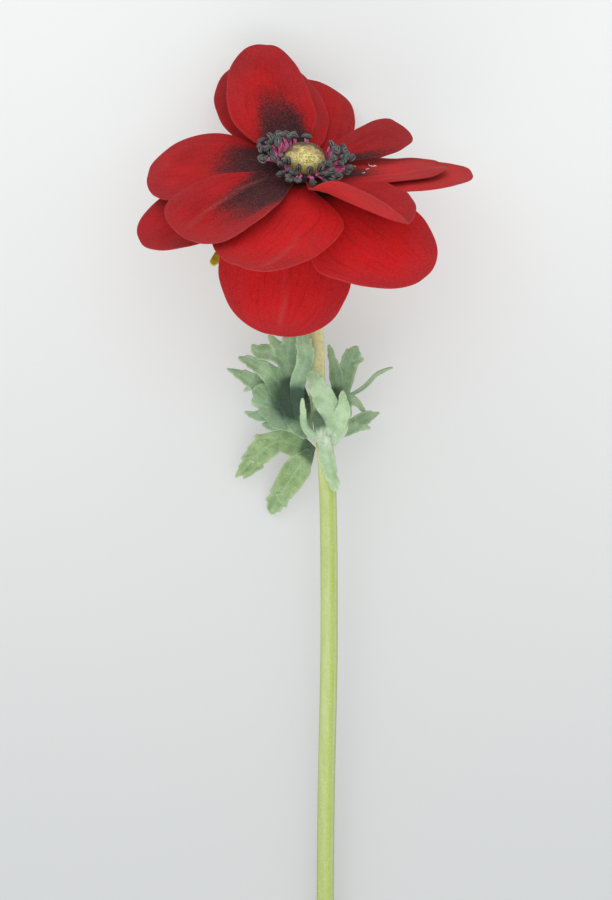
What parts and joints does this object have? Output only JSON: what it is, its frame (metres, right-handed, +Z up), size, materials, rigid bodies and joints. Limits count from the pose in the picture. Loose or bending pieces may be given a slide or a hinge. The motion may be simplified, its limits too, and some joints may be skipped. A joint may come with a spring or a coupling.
{
  "type": "cut flower",
  "caption": "Cut anemone lying down: layered red petals round a pale dome and dark stamens, on a bare stem with a ruff of divided leaves.",
  "frame": {"origin": "middle of the bottom of the bounding box, on the surface the flower lies on", "axes": "+Y along the stem towards the bloom, +Z up from the surface"},
  "size_m": [0.0944, 0.3037, 0.0747],
  "materials": {
    "petal": "velvety red cloth, dark speckled patch at the base of the inner petals",
    "stem": "pale yellow-green, slightly downy",
    "calyx": "olive to yellow-green",
    "stamens": "dark grey anthers on pink filaments",
    "centre_dome": "pale straw with dark specks",
    "leaf": "sage green, downy, paler edges"
  },
  "bodies": {
    "root": {"stem": "stem", "calyx": "calyx", "petal_01": "petal", "petal_02": "petal", "petal_03": "petal", "petal_04": "petal", "petal_05": "petal", "petal_06": "petal", "petal_07": "petal", "petal_08": "petal", "petal_09": "petal", "petal_10": "petal", "petal_11": "petal", "petal_12": "petal", "petal_13": "petal", "petal_14": "petal", "stamens": "stamens", "centre_dome": "centre_dome", "leaf_left": "leaf", "leaf_front": "leaf", "leaf_top": "leaf", "leaf_right": "leaf"}
  },
  "joints": []
}
